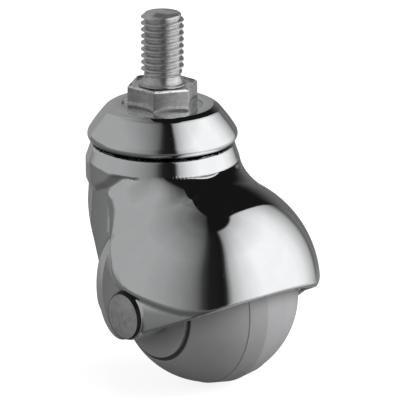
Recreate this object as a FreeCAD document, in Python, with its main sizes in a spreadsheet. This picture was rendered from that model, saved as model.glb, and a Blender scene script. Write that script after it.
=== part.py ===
import FreeCAD, Part
import math
import os
import re
import Sketcher

Vector = FreeCAD.Vector

# Ball castor with a screw stem. The origin is on the stem's axis, in the top face of the hexagon.
# +Z points up along the stem, and +X the way the wheel trails. Drops are measured down from the
# origin's face. Inside the hood and the wheel, ahead, back and rise are measured from the wheel's
# centre.

SIZES = {
    # Screw stem
    "stem_radius": 4.8,
    "stem_length": 15.9,
    "stem_point": 0.8,
    "hex_flats": 14.0,
    "hex_height": 5.4,
    "hex_turn": 5.8,
    "hex_chamfer": 0.6,
    "flange_radius": 9.5,
    "flange_height": 1.5,
    "spindle_radius": 6.0,
    "rivet_radius": 7.6,
    "rivet_height": 1.3,
    # Swivel collar
    "collar_opening": 9.0,
    "lip_gap": 0.5,
    "collar_wall": 1.1,
    "collar_shoulder_wall": 1.4,
    "lip_radius": 11.7,
    "lip_drop": 4.9,
    "cone_middle_radius": 14.5,
    "cone_middle_drop": 7.85,
    "collar_radius": 16.75,
    "shoulder_drop": 11.2,
    "rim_drop": 12.8,
    "rim_radius": 16.35,
    # Swivel bearing
    "top_race_height": 4.7,
    "top_race_overhang": 0.1,
    "top_race_edge": 1.4,
    "race_shoulder_inset": 0.2,
    "upper_gap": 1.6,
    "upper_race_height": 2.6,
    "neck_wall": 2.3,
    "upper_race_width": 5.0,
    "upper_pitch_inset": 2.5,
    "upper_ball_radius": 2.0,
    "web_height": 2.1,
    "lower_race_height": 2.1,
    "lower_gap": 0.6,
    "bottom_race_height": 2.4,
    "lower_pitch": 9.1,
    "lower_race_outside": 11.3,
    "bottom_race_outside": 10.8,
    "lower_ball_radius": 1.5,
    "ball_clearance": 0.05,
    "upper_ball_count": 16,
    "lower_ball_count": 12,
    # Place of the wheel
    "wheel_trail": 16.3,
    "axle_drop": 45.3,
    # Hood
    "neck_lip": 0.4,
    "neck_bore": 7.0,
    "neck_radius": 17.2,
    "neck_taper": 1.1,
    "neck_ring_height": 3.2,
    "band_height": 5.3,
    "cove_depth": 0.9,
    "cove_height": 5.9,
    "cheek_inset": 0.2,
    "cheek_taper": 3.9,
    "dome_radius": 25.2,
    "dome_back": 0.9,
    "dome_rise": 2.0,
    "skin_step": 0.6,
    "neck_blend": 9.0,
    "dome_wall": 2.4,
    "cavity_back": 0.5,
    "cavity_rise": 1.0,
    "cheek_wall": 2.4,
    "edge_slope": 24.8,
    "edge_bend_ahead": 12.0,
    "edge_front_rise": 1.0,
    "lobe_radius": 7.1,
    "lobe_back": 5.0,
    "lobe_rise": 0.1,
    "lobe_end": 20.0,
    "heel_back": 16.7,
    "heel_drop": 1.3,
    "rear_middle_back": 20.9,
    "rear_middle_rise": 11.2,
    "panel_toe_ahead": 16.3,
    "knee_front_ahead": 0.1,
    "knee_front_rise": 6.2,
    "knee_middle_back": 3.6,
    "knee_middle_rise": 7.5,
    "knee_rear_back": 6.2,
    "knee_rear_rise": 10.2,
    "panel_side_back": 10.8,
    "panel_side_rise": 14.6,
    "panel_corner_back": 14.3,
    "panel_corner_rise": 22.2,
    "panel_peak_back": 5.9,
    "band_front_back": 13.1,
    "band_middle_back": 16.5,
    "band_middle_rise": 25.5,
    "band_rear_back": 20.0,
    "band_rear_rise": 23.9,
    "boss_radius": 5.5,
    # Axle
    "axle_radius": 3.0,
    "axle_head_radius": 5.2,
    "axle_head_height": 1.0,
    "axle_head_round": 0.3,
    "seat_depth": 1.1,
    "seat_clearance": 0.3,
    "cap_depth": 0.6,
    "washer_radius": 5.6,
    "washer_height": 0.5,
    # Ball wheel
    "wheel_radius": 20.0,
    "bush_proud": 0.5,
    "bush_wall": 1.5,
    "running_clearance": 0.05,
    "shell_step": 0.3,
    "tread_half_width": 4.6,
    "tread_fall": 0.7,
    "tread_inside": 15.8,
    "core_rim_inside": 12.6,
    "core_web": 5.0,
    "hub_radius": 7.5,
    "shell_wall": 2.4,
    "disc_radius": 11.1,
    "disc_setback": 3.3,
    "groove_width": 0.8,
    "groove_depth": 0.8,
    "disc_height": 1.8,
    "disc_round": 0.3,
    "shell_flange": 1.5,
    "shell_flange_inside": 13.5,
}

# Drops of the seats that the swivel bearing is stacked on
COLLAR_SEAT = "(hex_height + flange_height)"
RACE_SEAT = f"({COLLAR_SEAT} + collar_wall)"
TOP_RACE_BOTTOM = f"({RACE_SEAT} + top_race_height)"
UPPER_RACE_TOP = f"({TOP_RACE_BOTTOM} + upper_gap)"
UPPER_RACE_SEAT = f"({UPPER_RACE_TOP} + upper_race_height)"
LOWER_RACE_SEAT = f"({UPPER_RACE_SEAT} + web_height)"
LOWER_RACE_BOTTOM = f"({LOWER_RACE_SEAT} + lower_race_height)"
BOTTOM_RACE_TOP = f"({LOWER_RACE_BOTTOM} + lower_gap)"
RIVET_SEAT = f"({BOTTOM_RACE_TOP} + bottom_race_height)"
SPINDLE_END = f"({RIVET_SEAT} + rivet_height)"
UPPER_BALL_DROP = f"({TOP_RACE_BOTTOM} + upper_gap / 2)"
LOWER_BALL_DROP = f"({LOWER_RACE_BOTTOM} + lower_gap / 2)"
NECK_TOP = f"({UPPER_RACE_TOP} - neck_lip)"

# Radii that follow the neck's
NECK_TOP_RADIUS = "(neck_radius - neck_taper)"
COVE_RADIUS = "(neck_radius - cove_depth)"
CHEEK_RADIUS = "(neck_radius - cheek_inset)"
UPPER_RACE_OUTSIDE = "(neck_radius - neck_wall)"
UPPER_RACE_INSIDE = f"({UPPER_RACE_OUTSIDE} - upper_race_width)"
UPPER_PITCH = f"({UPPER_RACE_OUTSIDE} - upper_pitch_inset)"

# Sizes that follow the dome's and the wheel's
CAVITY_RADIUS = "(dome_radius - dome_wall)"
AXLE_SEAT = "(dome_radius - seat_depth)"
SHELL_RADIUS = "(wheel_radius - shell_step)"
DISC_FACE = f"({SHELL_RADIUS} - disc_setback)"
BUSH_HALF_LENGTH = f"({DISC_FACE} + bush_proud)"

# How far the cutting shapes reach past the casting, and how near a point counts as lying on a face
CUT = 1.0
NEAR = 0.001

document = FreeCAD.newDocument("ball_castor")
sheet = document.addObject("Spreadsheet::Sheet", "sizes")
for row, (alias, size) in enumerate(SIZES.items(), start=1):
    sheet.set(f"A{row}", alias)
    sheet.set(f"B{row}", str(size))
    sheet.setAlias(f"B{row}", alias)
document.recompute()

pieces = []


def bound(text):
    """The same sum with each name turned into a reference to its cell."""
    return re.sub(r"\b([a-z]+(?:_[a-z]+)+)\b", r"sizes.\1", text)


def value(text):
    """The number that a sum of sizes comes to."""
    return float(sheet.evalExpression(bound(text)))


def keep(piece, label):
    """Give a finished sub-part its name and put it on the list of pieces to write."""
    piece.Label = label
    pieces.append(piece)
    return piece


def place(piece, ahead="0", drop="0", across="0"):
    """Tie a piece's place to the sheet."""
    piece.setExpression("Placement.Base.x", bound(ahead))
    piece.setExpression("Placement.Base.y", bound(across))
    piece.setExpression("Placement.Base.z", bound(f"-({drop})"))


def lay_along_axle(piece, start, mirrored=False):
    """Turn a piece made upright so that its height runs along the axle, outwards from start."""
    turn = 90 if mirrored else -90
    piece.Placement = FreeCAD.Placement(Vector(0, 0, 0), FreeCAD.Rotation(Vector(1, 0, 0), turn))
    sign = "-" if mirrored else ""
    place(piece, "wheel_trail", "axle_drop", f"{sign}({start})")


def origin_plane(body, role):
    """One of the body's own base planes."""
    for feature in body.Origin.OriginFeatures:
        if feature.Role == role:
            return feature


def new_sketch(body, name):
    """An empty sketch on the body's upright plane."""
    sketch = body.newObject("Sketcher::SketchObject", name)
    sketch.AttachmentSupport = (origin_plane(body, "XZ_Plane"), [""])
    sketch.MapMode = "FlatFace"
    return sketch


def hold_point(sketch, edge, end, corner):
    """Hold one end of a sketch edge at a radius and a height given as sums of sizes."""
    for kind, text, axis in (("DistanceX", corner[0], -2), ("DistanceY", corner[1], -1)):
        if text == "0":
            sketch.addConstraint(Sketcher.Constraint("PointOnObject", edge, end, axis))
        else:
            held = Sketcher.Constraint(kind, -1, 1, edge, end, value(text))
            number = sketch.addConstraint(held)
            sketch.setExpression(f"Constraints[{number}]", bound(text))


def outline(body, name, corners):
    """A closed outline of straight lines, each corner held by sizes from the sheet."""
    sketch = new_sketch(body, name)
    points = [Vector(value(radius), value(height), 0) for radius, height in corners]
    for start, end in zip(points, points[1:] + points[:1]):
        sketch.addGeometry(Part.LineSegment(start, end))
    count = len(corners)
    for edge, corner in enumerate(corners):
        sketch.addConstraint(Sketcher.Constraint("Coincident", edge, 2, (edge + 1) % count, 1))
        hold_point(sketch, edge, 1, corner)
    return sketch


def circle(body, name, radius, centre):
    """A circle whose centre and radius are held by sizes from the sheet."""
    sketch = new_sketch(body, name)
    middle = Vector(value(centre[0]), value(centre[1]), 0)
    sketch.addGeometry(Part.Circle(middle, Vector(0, 0, 1), value(radius)))
    hold_point(sketch, 0, 3, centre)
    number = sketch.addConstraint(Sketcher.Constraint("Radius", 0, value(radius)))
    sketch.setExpression(f"Constraints[{number}]", bound(radius))
    return sketch


def turn_solid(body, name, sketch):
    """Turn an outline into a solid of revolution about the body's own upright axis."""
    feature = body.newObject("PartDesign::Revolution", name)
    feature.Profile = sketch
    feature.ReferenceAxis = (sketch, ["V_Axis"])
    feature.Angle = 360
    document.recompute()
    return feature


def turn_groove(body, name, sketch):
    """Cut an outline away all round the body's upright axis."""
    before = body.Shape.Volume
    feature = body.newObject("PartDesign::Groove", name)
    feature.Profile = sketch
    feature.ReferenceAxis = (sketch, ["V_Axis"])
    feature.Angle = 360
    document.recompute()
    if not body.Shape.Volume < before:
        raise RuntimeError(f"{name} cuts nothing")
    return feature


def turned_body(label, corners):
    """A turned piece, from the outline of its half section."""
    body = document.addObject("PartDesign::Body", label)
    turn_solid(body, f"{label}_turned", outline(body, f"{label}_outline", corners))
    return keep(body, label)


def screw_stem():
    """Screw, hexagon, flange and spindle, with the rivet head that holds the bottom race."""
    end = SPINDLE_END
    body = turned_body("threaded_stem", [
        ("0", "0"),
        ("rivet_radius", "0"),
        ("rivet_radius", "rivet_height"),
        ("spindle_radius", "rivet_height"),
        ("spindle_radius", f"{end} - {COLLAR_SEAT}"),
        ("flange_radius", f"{end} - {COLLAR_SEAT}"),
        ("flange_radius", f"{end} - hex_height"),
        ("stem_radius", f"{end} - hex_height"),
        ("stem_radius", f"{end} + stem_length - stem_point"),
        ("stem_radius - stem_point", f"{end} + stem_length"),
        ("0", f"{end} + stem_length"),
    ])
    hexagon = body.newObject("PartDesign::AdditivePrism", "hexagon")
    hexagon.Polygon = 6
    hexagon.setExpression("Circumradius", bound("hex_flats / 2 / cos(30)"))
    hexagon.setExpression("Height", bound("hex_height"))
    hexagon.AttachmentSupport = (origin_plane(body, "XY_Plane"), [""])
    hexagon.MapMode = "FlatFace"
    hexagon.setExpression("AttachmentOffset.Base.z", bound(f"{end} - hex_height"))
    hexagon.AttachmentOffset.Rotation.Axis = Vector(0, 0, 1)
    hexagon.setExpression("AttachmentOffset.Rotation.Angle", bound("hex_turn"))
    document.recompute()
    corner = "hex_flats / 2 / cos(30)"
    turn_groove(body, "hexagon_chamfer", outline(body, "hexagon_chamfer_outline", [
        (f"{corner} - hex_chamfer / tan(30)", f"{end}"),
        (f"{corner} + hex_chamfer", f"{end} - hex_chamfer"),
        (f"{corner} + hex_chamfer", f"{end} + hex_chamfer"),
        (f"{corner} - hex_chamfer / tan(30)", f"{end} + hex_chamfer"),
    ]))
    place(body, drop=end)


def swivel_collar():
    """Chromed cone with a rolled lip round the hexagon, which covers the swivel bearing."""
    slope = "((collar_radius - lip_radius) / (shoulder_drop - lip_drop))"
    inner_shoulder = "collar_radius - collar_shoulder_wall"
    seat_radius = f"{inner_shoulder} - (shoulder_drop - {RACE_SEAT}) * {slope}"
    lip_bottom = "rim_drop - hex_height + running_clearance"
    turned = turned_body("swivel_collar", [
        ("spindle_radius", f"rim_drop - {RACE_SEAT}"),
        (seat_radius, f"rim_drop - {RACE_SEAT}"),
        (inner_shoulder, "rim_drop - shoulder_drop"),
        ("rim_radius - collar_wall", "0"),
        ("rim_radius", "0"),
        ("collar_radius", "(rim_drop - shoulder_drop) / 2"),
        ("collar_radius", "rim_drop - shoulder_drop"),
        ("cone_middle_radius", "rim_drop - cone_middle_drop"),
        ("lip_radius", "rim_drop - lip_drop"),
        ("collar_opening", "rim_drop - lip_drop"),
        ("collar_opening", lip_bottom),
        ("flange_radius + lip_gap", lip_bottom),
        ("flange_radius + lip_gap", f"rim_drop - {COLLAR_SEAT}"),
        ("spindle_radius", f"rim_drop - {COLLAR_SEAT}"),
    ])
    place(turned, drop="rim_drop")


def race(label, corners, bottom, pitch, ball_radius, ball_drop):
    """A hardened ring with a round track for one row of balls."""
    body = turned_body(label, corners)
    track = circle(body, f"{label}_track_outline", f"{ball_radius} + ball_clearance",
                   (pitch, f"{bottom} - {ball_drop}"))
    turn_groove(body, f"{label}_track", track)
    place(body, drop=bottom)


def swivel_races():
    """The four rings that the two rows of balls run between."""
    edge = f"{UPPER_RACE_OUTSIDE} + top_race_overhang"
    race("top_race", [
        ("spindle_radius", "top_race_height / 2"),
        (UPPER_RACE_INSIDE, "top_race_height / 2"),
        (UPPER_RACE_INSIDE, "0"),
        (edge, "0"),
        (edge, "top_race_edge"),
        (f"{UPPER_PITCH} - race_shoulder_inset", "top_race_height"),
        ("spindle_radius", "top_race_height"),
    ], TOP_RACE_BOTTOM, UPPER_PITCH, "upper_ball_radius", UPPER_BALL_DROP)
    race("hood_upper_race", [
        (UPPER_RACE_INSIDE, "0"),
        (UPPER_RACE_OUTSIDE, "0"),
        (UPPER_RACE_OUTSIDE, "upper_race_height"),
        (UPPER_RACE_INSIDE, "upper_race_height"),
    ], UPPER_RACE_SEAT, UPPER_PITCH, "upper_ball_radius", UPPER_BALL_DROP)
    race("hood_lower_race", [
        ("neck_bore", "0"),
        ("lower_race_outside", "0"),
        ("lower_race_outside", "lower_race_height"),
        ("neck_bore", "lower_race_height"),
    ], LOWER_RACE_BOTTOM, "lower_pitch", "lower_ball_radius", LOWER_BALL_DROP)
    race("bottom_race", [
        ("spindle_radius", "0"),
        ("bottom_race_outside", "0"),
        ("bottom_race_outside", "bottom_race_height"),
        ("spindle_radius", "bottom_race_height"),
    ], RIVET_SEAT, "lower_pitch", "lower_ball_radius", LOWER_BALL_DROP)


def ball_row(row, count, pitch, radius, drop):
    """One row of loose balls, evenly spaced round the stem."""
    for number in range(int(value(count))):
        label = f"{row}_ball_{number + 1:02d}"
        ball = document.addObject("Part::Sphere", label)
        ball.setExpression("Radius", bound(radius))
        turn = f"({number} * 360 / {count})"
        place(ball, f"{pitch} * cos({turn})", drop, f"{pitch} * sin({turn})")
        keep(ball, label)


def side_prism(points):
    """Everything inside a closed side-view outline, from one side of the castor to the other.

    Each step is the end of a straight run, or the middle and the end of an arc.
    """
    reach = value("dome_radius") + value("neck_radius")
    edges = []
    here = points[0][-1]
    for step in points[1:] + points[:1]:
        if len(step) == 1:
            edges.append(Part.LineSegment(here, step[0]).toShape())
        else:
            edges.append(Part.Arc(here, step[0], step[1]).toShape())
        here = step[-1]
    face = Part.Face(Part.Wire(edges))
    face.translate(Vector(0, -reach, 0))
    return face.extrude(Vector(0, 2 * reach, 0))


def side_point(ahead, rise):
    """A point in the middle plane, from the wheel's centre."""
    return Vector(value(ahead), 0, value(rise))


def lower_edge(ahead):
    """Height of the hood's straight lower edge at a distance ahead of the wheel's centre."""
    slope = math.radians(value("edge_slope"))
    radius = value("lobe_radius")
    start = -value("lobe_back") + radius * math.sin(slope)
    height = value("lobe_rise") - radius * math.cos(slope)
    return Vector(ahead, 0, height + (ahead - start) * math.tan(slope))


def hood_side_outline():
    """Side view of the whole casting: lower edge, lobe round the axle, heel and swept back."""
    slope = math.radians(value("edge_slope"))
    end = math.radians(value("lobe_end"))
    radius = value("lobe_radius")
    centre = side_point("-lobe_back", "lobe_rise")
    start_way = Vector(math.sin(slope), 0, -math.cos(slope))
    end_way = Vector(-math.cos(end), 0, -math.sin(end))
    middle_way = (start_way + end_way).normalize()
    skirt_rise = f"axle_drop - {NECK_TOP} - neck_ring_height - band_height"
    skirt = side_point("-(wheel_trail + neck_radius)", skirt_rise)
    top = value(f"axle_drop - {NECK_TOP}") + value("neck_ring_height")
    far_ahead = value("dome_radius + dome_back")
    far_back = -value("wheel_trail + 2 * neck_radius")
    bend = value("edge_bend_ahead")
    rise = value("edge_front_rise")
    front = lower_edge(far_ahead) + Vector(0, 0, rise)
    bent = lower_edge((far_ahead + bend) / 2) + Vector(0, 0, rise / 4)
    return [
        (Vector(far_ahead, 0, top),),
        (front,),
        (bent, lower_edge(bend)),
        (centre + start_way * radius,),
        (centre + middle_way * radius, centre + end_way * radius),
        (side_point("-heel_back", "-heel_drop"),),
        (side_point("-rear_middle_back", "rear_middle_rise"), skirt),
        (Vector(far_back, 0, skirt.z),),
        (Vector(far_back, 0, top),),
    ]


def panel_outline():
    """Side view of the raised skin on the dome."""
    peak_rise = f"axle_drop - {NECK_TOP} - neck_ring_height"
    far_ahead = value("dome_radius + dome_back")
    return [
        (side_point("-panel_peak_back", peak_rise),),
        (Vector(far_ahead, 0, value(peak_rise)),),
        (Vector(far_ahead, 0, 0),),
        (lower_edge(value("panel_toe_ahead")),),
        (side_point("knee_front_ahead", "knee_front_rise"),),
        (
            side_point("-knee_middle_back", "knee_middle_rise"),
            side_point("-knee_rear_back", "knee_rear_rise"),
        ),
        (side_point("-panel_side_back", "panel_side_rise"),),
        (side_point("-panel_corner_back", "panel_corner_rise"),),
    ]


def band_outline():
    """Side view of the plain band that the neck keeps at the rear."""
    peak_rise = f"axle_drop - {NECK_TOP} - neck_ring_height"
    far_back = "-(wheel_trail + 2 * neck_radius)"
    return [
        (side_point(far_back, peak_rise),),
        (side_point("-band_front_back", peak_rise),),
        (side_point("-band_middle_back", "band_middle_rise"),),
        (side_point("-band_rear_back", "band_rear_rise"),),
        (side_point(far_back, f"{peak_rise} - band_height"),),
    ]


def ball_shape(radius, back, rise):
    """A ball placed from the wheel's centre."""
    shape = Part.makeSphere(value(radius))
    shape.translate(side_point(f"-{back}", rise))
    return shape


def upright(radius, low, high):
    """A cylinder about the stem's axis between two heights."""
    shape = Part.makeCylinder(radius, high - low)
    shape.translate(Vector(-value("wheel_trail"), 0, low))
    return shape


def along_axle(radius, start, end):
    """A cylinder about the axle between two distances from the middle plane."""
    return Part.makeCylinder(radius, end - start, Vector(0, start, 0), Vector(0, 1, 0))


def turned_about_stem(corners):
    """A solid turned about the stem's axis, from radii and heights."""
    points = [Vector(radius, 0, height) for radius, height in corners]
    face = Part.Face(Part.makePolygon(points + points[:1]))
    shape = face.revolve(Vector(0, 0, 0), Vector(0, 0, 1), 360)
    shape.translate(Vector(-value("wheel_trail"), 0, 0))
    return shape


def cheek_shape(low, ring):
    """Turned body under the neck: a cove, then the flare that the cheeks follow."""
    flare = ring - value("cove_height")
    return turned_about_stem([
        (0, low),
        (value(CHEEK_RADIUS), low),
        (value(CHEEK_RADIUS), flare - value("cheek_taper")),
        (value(COVE_RADIUS), flare),
        (value(COVE_RADIUS), ring),
        (0, ring),
    ])


def neck_and_dome(ring, top):
    """Neck and dome grown together, with a rounded hollow along the line where they meet."""
    neck = value("neck_radius")
    dome = ball_shape("dome_radius", "dome_back", "dome_rise")
    tall = upright(neck, 2 * value("dome_rise"), top + 2 * neck)
    joined = tall.fuse(dome)
    centre = side_point("-dome_back", "dome_rise")
    seam = []
    for edge in joined.Edges:
        if not edge.Degenerated:
            middle = edge.valueAt((edge.FirstParameter + edge.LastParameter) / 2)
            on_dome = abs((middle - centre).Length - value("dome_radius")) < NEAR
            on_neck = abs(math.hypot(middle.x + value("wheel_trail"), middle.y) - neck) < NEAR
            if on_dome and on_neck:
                seam.append(edge)
    blended = joined.makeFillet(value("neck_blend"), seam)
    low = -value("wheel_radius")
    limit = turned_about_stem([(0, low), (neck + ring - low, low), (neck, ring), (0, ring)])
    return dome.fuse([upright(neck, low, ring), blended.common(limit)])


def hood_hollows(web, top):
    """Wheel cavity, bearing seats and neck bore, as shapes to cut out of the casting."""
    upper_seat = value(f"axle_drop - {UPPER_RACE_SEAT}")
    lower_seat = value(f"axle_drop - {LOWER_RACE_SEAT}")
    return [
        upright(value("neck_bore"), web, top + CUT),
        upright(value(UPPER_RACE_OUTSIDE), upper_seat, top + CUT),
        upright(value("lower_race_outside"), web - CUT, lower_seat),
    ]


def axle_hollows():
    """Axle hole with a flat seat for the head on each leg."""
    reach = value("dome_radius + neck_radius")
    seat = value(AXLE_SEAT)
    seat_radius = value("axle_head_radius + seat_clearance")
    return [
        along_axle(value("axle_radius"), -reach, reach),
        along_axle(seat_radius, seat, reach),
        along_axle(seat_radius, -reach, -seat),
    ]


def hood():
    """Cast hood: neck, dome with its raised skin, two legs and the axle's bosses, hollow below."""
    top = value(f"axle_drop - {NECK_TOP}")
    ring = top - value("neck_ring_height")
    web = ring - value("band_height")
    low = -value("wheel_radius")
    neck = value("neck_radius")

    legs = ball_shape("(dome_radius - skin_step)", "dome_back", "dome_rise")
    whole_side = side_prism(hood_side_outline())
    legs = legs.fuse(cheek_shape(low, ring)).common(whole_side)
    skin = neck_and_dome(ring, top).common(side_prism(panel_outline())).common(whole_side)
    band = upright(neck, low, ring).common(side_prism(band_outline()))
    neck_ring = Part.makeCone(neck, value(NECK_TOP_RADIUS), top - ring)
    neck_ring.translate(Vector(-value("wheel_trail"), 0, ring))
    casting = legs.fuse([skin, band, neck_ring])

    cavity = ball_shape(CAVITY_RADIUS, "cavity_back", "cavity_rise")
    cavity = cavity.fuse(upright(value(f"{CHEEK_RADIUS} - cheek_wall"), low, web))
    casting = casting.cut(cavity)

    inner = value(f"{BUSH_HALF_LENGTH} + running_clearance + washer_height")
    near_boss = along_axle(value("boss_radius"), -value(AXLE_SEAT), -inner)
    far_boss = along_axle(value("boss_radius"), inner, value(AXLE_SEAT))
    casting = casting.fuse([near_boss, far_boss]).cut(hood_hollows(web, top) + axle_hollows())

    item = document.addObject("Part::Feature", "hood")
    item.Shape = casting.removeSplitter().Solids[0]
    place(item, "wheel_trail", "axle_drop")
    keep(item, "hood")


def axle():
    """Steel pin with a flat head on the near leg, and the cap that closes it on the far leg."""
    pin = turned_body("axle", [
        ("0", "0"),
        ("axle_head_radius - axle_head_round", "0"),
        ("axle_head_radius", "axle_head_round"),
        ("axle_head_radius", "axle_head_height"),
        ("axle_radius", "axle_head_height"),
        ("axle_radius", f"axle_head_height + 2 * {AXLE_SEAT} + cap_depth"),
        ("0", f"axle_head_height + 2 * {AXLE_SEAT} + cap_depth"),
    ])
    lay_along_axle(pin, f"-({AXLE_SEAT} + axle_head_height)")
    cap = turned_body("axle_cap", [
        ("0", "cap_depth"),
        ("axle_radius", "cap_depth"),
        ("axle_radius", "0"),
        ("axle_head_radius", "0"),
        ("axle_head_radius", "axle_head_height - axle_head_round"),
        ("axle_head_radius - axle_head_round", "axle_head_height"),
        ("0", "axle_head_height"),
    ])
    lay_along_axle(cap, AXLE_SEAT)


def tube(label, inside, outside, height):
    """A plain ring, from its two radii and its height."""
    return turned_body(label, [(inside, "0"), (outside, "0"), (outside, height), (inside, height)])


def wheel_middle():
    """Bush, core and tread, which lie across the middle of the ball."""
    bore = "axle_radius + running_clearance"
    bush = tube("axle_bush", bore, f"{bore} + bush_wall", f"2 * {BUSH_HALF_LENGTH}")
    lay_along_axle(bush, f"-{BUSH_HALF_LENGTH}")
    disc = f"({DISC_FACE} - disc_height)"
    core = turned_body("wheel_core", [
        (f"{bore} + bush_wall", "0"),
        ("hub_radius", "0"),
        ("hub_radius", f"{disc} - core_web / 2"),
        ("core_rim_inside", f"{disc} - core_web / 2"),
        ("core_rim_inside", f"{disc} - tread_half_width"),
        ("tread_inside", f"{disc} - tread_half_width"),
        ("tread_inside", f"{disc} + tread_half_width"),
        ("core_rim_inside", f"{disc} + tread_half_width"),
        ("core_rim_inside", f"{disc} + core_web / 2"),
        ("hub_radius", f"{disc} + core_web / 2"),
        ("hub_radius", f"2 * {disc}"),
        (f"{bore} + bush_wall", f"2 * {disc}"),
    ])
    lay_along_axle(core, f"-{disc}")


def ball_arc(sketch, radius, low, high):
    """First edge of a sketch: an arc about the wheel's centre between two heights."""
    size = value(radius)
    angles = [math.asin(value(height) / size) for height in (low, high)]
    whole = Part.Circle(Vector(0, 0, 0), Vector(0, 0, 1), size)
    sketch.addGeometry(Part.ArcOfCircle(whole, *angles))
    sketch.addConstraint(Sketcher.Constraint("Coincident", 0, 3, -1, 1))
    number = sketch.addConstraint(Sketcher.Constraint("Radius", 0, size))
    sketch.setExpression(f"Constraints[{number}]", bound(radius))
    for end, height in ((1, low), (2, high)):
        held = Sketcher.Constraint("DistanceY", -1, 1, 0, end, value(height))
        number = sketch.addConstraint(held)
        sketch.setExpression(f"Constraints[{number}]", bound(height))
    return [Vector(size * math.cos(angle), size * math.sin(angle), 0) for angle in angles]


def ball_ring(label, radius, low, high, corners):
    """A ring whose outside follows a ball, low and high being heights from its middle plane."""
    body = document.addObject("PartDesign::Body", label)
    sketch = new_sketch(body, f"{label}_outline")
    arc_low, arc_high = ball_arc(sketch, radius, low, high)
    points = [Vector(value(across), value(height), 0) for across, height in corners]
    path = [arc_high] + points + [arc_low]
    for edge, (start, finish) in enumerate(zip(path, path[1:]), start=1):
        sketch.addGeometry(Part.LineSegment(start, finish))
        sketch.addConstraint(Sketcher.Constraint("Coincident", edge - 1, 2, edge, 1))
        if edge > 1:
            hold_point(sketch, edge, 1, corners[edge - 2])
    sketch.addConstraint(Sketcher.Constraint("Coincident", len(corners) + 1, 2, 0, 1))
    turn_solid(body, f"{label}_turned", sketch)
    return keep(body, label)


def side_shell(label, mirrored):
    """One of the two dished shells beside the tread, with a flange that rests on the core's rim."""
    opening = "(disc_radius + groove_width)"
    inner = f"({SHELL_RADIUS} - shell_wall)"
    flange_top = "(tread_half_width + shell_flange)"
    top = f"sqrt({SHELL_RADIUS} ^ 2 - {opening} ^ 2)"
    shell = ball_ring(label, SHELL_RADIUS, "tread_half_width", top, [
        (opening, f"sqrt({inner} ^ 2 - {opening} ^ 2)"),
        (f"sqrt({inner} ^ 2 - {flange_top} ^ 2)", flange_top),
        ("shell_flange_inside", flange_top),
        ("shell_flange_inside", "tread_half_width"),
    ])
    lay_along_axle(shell, "0", mirrored)


def hub_disc(label, mirrored):
    """Flat disc that closes the ball round the bush, with a groove along its edge."""
    bush = "axle_radius + running_clearance + bush_wall"
    opening = "disc_radius + groove_width"
    disc = turned_body(label, [
        (bush, "0"),
        (opening, "0"),
        (opening, "disc_height - groove_depth"),
        ("disc_radius", "disc_height - groove_depth"),
        ("disc_radius", "disc_height - disc_round"),
        ("disc_radius - disc_round", "disc_height"),
        (bush, "disc_height"),
    ])
    lay_along_axle(disc, f"{DISC_FACE} - disc_height", mirrored)


def wheel_outside():
    """Tread, side shells and hub discs, which together make the ball's outside, and the washers."""
    tread = turned_body("tread_band", [
        ("tread_inside", "0"),
        ("wheel_radius - tread_fall", "0"),
        ("wheel_radius", "tread_half_width"),
        ("wheel_radius - tread_fall", "2 * tread_half_width"),
        ("tread_inside", "2 * tread_half_width"),
    ])
    lay_along_axle(tread, "-tread_half_width")
    bore = "axle_radius + running_clearance"
    for side, mirrored in (("left", True), ("right", False)):
        side_shell(f"side_shell_{side}", mirrored)
        hub_disc(f"hub_disc_{side}", mirrored)
        washer = tube(f"washer_{side}", bore, "washer_radius", "washer_height")
        lay_along_axle(washer, f"{BUSH_HALF_LENGTH} + running_clearance", mirrored)


document.recompute()
screw_stem()
swivel_collar()
swivel_races()
ball_row("upper", "upper_ball_count", UPPER_PITCH, "upper_ball_radius", UPPER_BALL_DROP)
ball_row("lower", "lower_ball_count", "lower_pitch", "lower_ball_radius", LOWER_BALL_DROP)
hood()
axle()
wheel_middle()
wheel_outside()
document.recompute()

for item in document.Objects:
    if "Invalid" in item.State or "Error" in item.State:
        raise RuntimeError(f"{item.Label} failed: {item.State}")

os.makedirs("parts", exist_ok=True)
for piece in pieces:
    if piece.Shape.isNull() or not piece.Shape.isValid():
        raise RuntimeError(f"{piece.Label} has no valid shape")
    piece.Shape.exportStep(f"parts/{piece.Label}.step")
    print(piece.Label, len(piece.Shape.Solids), round(piece.Shape.Volume, 1))
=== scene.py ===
import cmath
import math

import bmesh
import bpy
import numpy as np
from mathutils import Matrix, Vector


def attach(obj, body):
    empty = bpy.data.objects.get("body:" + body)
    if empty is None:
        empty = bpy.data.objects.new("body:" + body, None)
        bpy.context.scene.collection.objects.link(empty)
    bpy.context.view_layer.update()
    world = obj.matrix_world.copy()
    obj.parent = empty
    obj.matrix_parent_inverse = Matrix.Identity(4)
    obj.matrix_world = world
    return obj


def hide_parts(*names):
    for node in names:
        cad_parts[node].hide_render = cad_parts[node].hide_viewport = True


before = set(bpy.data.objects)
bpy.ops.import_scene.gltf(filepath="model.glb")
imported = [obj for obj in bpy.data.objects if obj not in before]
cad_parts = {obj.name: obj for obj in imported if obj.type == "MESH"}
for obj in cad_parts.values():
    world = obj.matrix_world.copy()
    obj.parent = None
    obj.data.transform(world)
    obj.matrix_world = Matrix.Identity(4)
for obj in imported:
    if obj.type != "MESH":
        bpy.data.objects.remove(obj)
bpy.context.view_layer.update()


# Screw stem. The top of one cold-headed steel piece, zinc plated: a rolled M10 thread with a chamfered
# point, and a plain foot that widens into the hexagon's top face. Lengths are in millimetres here and
# below, and each finished mesh is brought to metres.

MILLIMETRE = 0.001
THREAD_PITCH = 1.5
THREAD_CREST = 4.8
THREAD_ROOT = 3.98
STEM_TOP = 15.9
STEM_POINT = 0.8
THREAD_FOOT = 2.0
THREAD_TURNS = 12
TURN_STEPS = 72


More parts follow.
